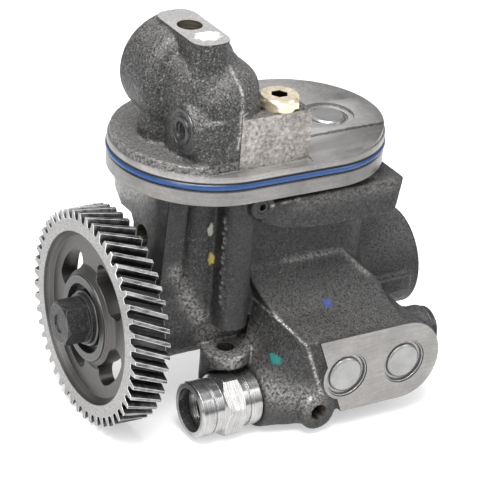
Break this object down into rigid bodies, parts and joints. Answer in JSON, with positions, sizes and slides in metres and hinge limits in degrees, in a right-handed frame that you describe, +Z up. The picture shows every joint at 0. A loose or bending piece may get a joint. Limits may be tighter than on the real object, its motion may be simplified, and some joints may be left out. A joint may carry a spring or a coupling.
{
  "type": "high-pressure oil pump",
  "caption": "Cast axial-piston oil pump with an oval O-ring flange, a regulator tower, a helical drive gear and a hex discharge fitting on its lower block.",
  "frame": {"origin": "centre of the bounding box at its base, which is the bottom of the drive gear", "axes": "+X runs along the drive shaft from the gear to the rear cap, -Y points out of the lower block's milled face, +Z points up through the flange and the tower"},
  "size_m": [0.205, 0.1274, 0.2155],
  "materials": {
    "casting": "cast skin with milled faces",
    "gear_steel": "hobbed teeth, satin faces",
    "dark_steel": "black oxide",
    "bearing_steel": "ground",
    "polished_steel": "turned and polished",
    "plug_steel": "pressed",
    "gold_steel": "yellow passivated",
    "blue_rubber": "smooth",
    "black_rubber": "smooth",
    "bronze": "bored"
  },
  "bodies": {
    "housing": {"pump_housing": "casting", "flange_o_ring": "blue_rubber", "bearing_outer_race": "bearing_steel", "shaft_seal": "black_rubber", "bearing_retaining_ring": "dark_steel", "swash_plate": "bearing_steel", "valve_plate": "bronze", "valve_plate_pin": "bearing_steel", "rear_port_cap": "bearing_steel", "rear_cap_seal": "black_rubber", "rear_bush": "bronze", "rear_snap_ring": "dark_steel", "top_port_plug": "gold_steel", "top_plug_seal": "black_rubber", "plate_cup_plug": "plug_steel", "block_cup_plugs": "plug_steel", "check_seats": "bearing_steel", "check_guides": "bearing_steel", "check_spring_1": "dark_steel", "check_spring_2": "dark_steel", "side_gallery_plug": "dark_steel", "boss_plug": "dark_steel", "end_plug": "dark_steel", "discharge_fitting": "polished_steel", "fitting_seal_ring": "black_rubber"},
    "rotor": {"drive_gear": "gear_steel", "gear_washer": "bearing_steel", "gear_bolt": "dark_steel", "shaft_key": "bearing_steel", "drive_shaft": "bearing_steel", "bearing_inner_race": "bearing_steel", "pistons": "polished_steel", "cylinder_barrel": "bearing_steel", "barrel_key": "bearing_steel", "barrel_springs": "dark_steel"},
    "ball_set": {"bearing_balls": "polished_steel", "bearing_cage": "bronze"},
    "wobble_race": {"thrust_race": "bearing_steel"},
    "wobble_rollers": {"thrust_cage": "bronze", "thrust_needles": "bearing_steel"},
    "poppet_1": {"check_poppet_1": "bearing_steel"},
    "poppet_2": {"check_poppet_2": "bearing_steel"}
  },
  "joints": [
    {"name": "rotor_spin", "type": "hinge", "parent": "housing", "child": "rotor", "pos_m": [0.0065, 0.00625, 0.0575], "axis": [1, 0, 0], "continuous": true},
    {"name": "bearing_cage_spin", "type": "hinge", "parent": "housing", "child": "ball_set", "pos_m": [0.0065, 0.00625, 0.0575], "axis": [1, 0, 0], "continuous": true},
    {"name": "thrust_race_spin", "type": "hinge", "parent": "housing", "child": "wobble_race", "pos_m": [0.01526, 0.00625, 0.0575], "axis": [0.9659, 0, -0.2588], "continuous": true},
    {"name": "thrust_cage_spin", "type": "hinge", "parent": "housing", "child": "wobble_rollers", "pos_m": [0.01526, 0.00625, 0.0575], "axis": [0.9659, 0, -0.2588], "continuous": true},
    {"name": "check_lift_1", "type": "slide", "parent": "housing", "child": "poppet_1", "axis": [0, -1, 0], "range_m": [0, 0.0015], "stiffness_N_per_m": 800, "springref_m": -0.0005, "deforming": ["check_spring_1"]},
    {"name": "check_lift_2", "type": "slide", "parent": "housing", "child": "poppet_2", "axis": [0, -1, 0], "range_m": [0, 0.0015], "stiffness_N_per_m": 800, "springref_m": -0.0005, "deforming": ["check_spring_2"]}
  ],
  "couplings": [
    {"joint": "bearing_cage_spin", "follows": "rotor_spin", "ratio": 0.38421},
    {"joint": "thrust_race_spin", "follows": "rotor_spin", "ratio": 1},
    {"joint": "thrust_cage_spin", "follows": "rotor_spin", "ratio": 0.5}
  ]
}
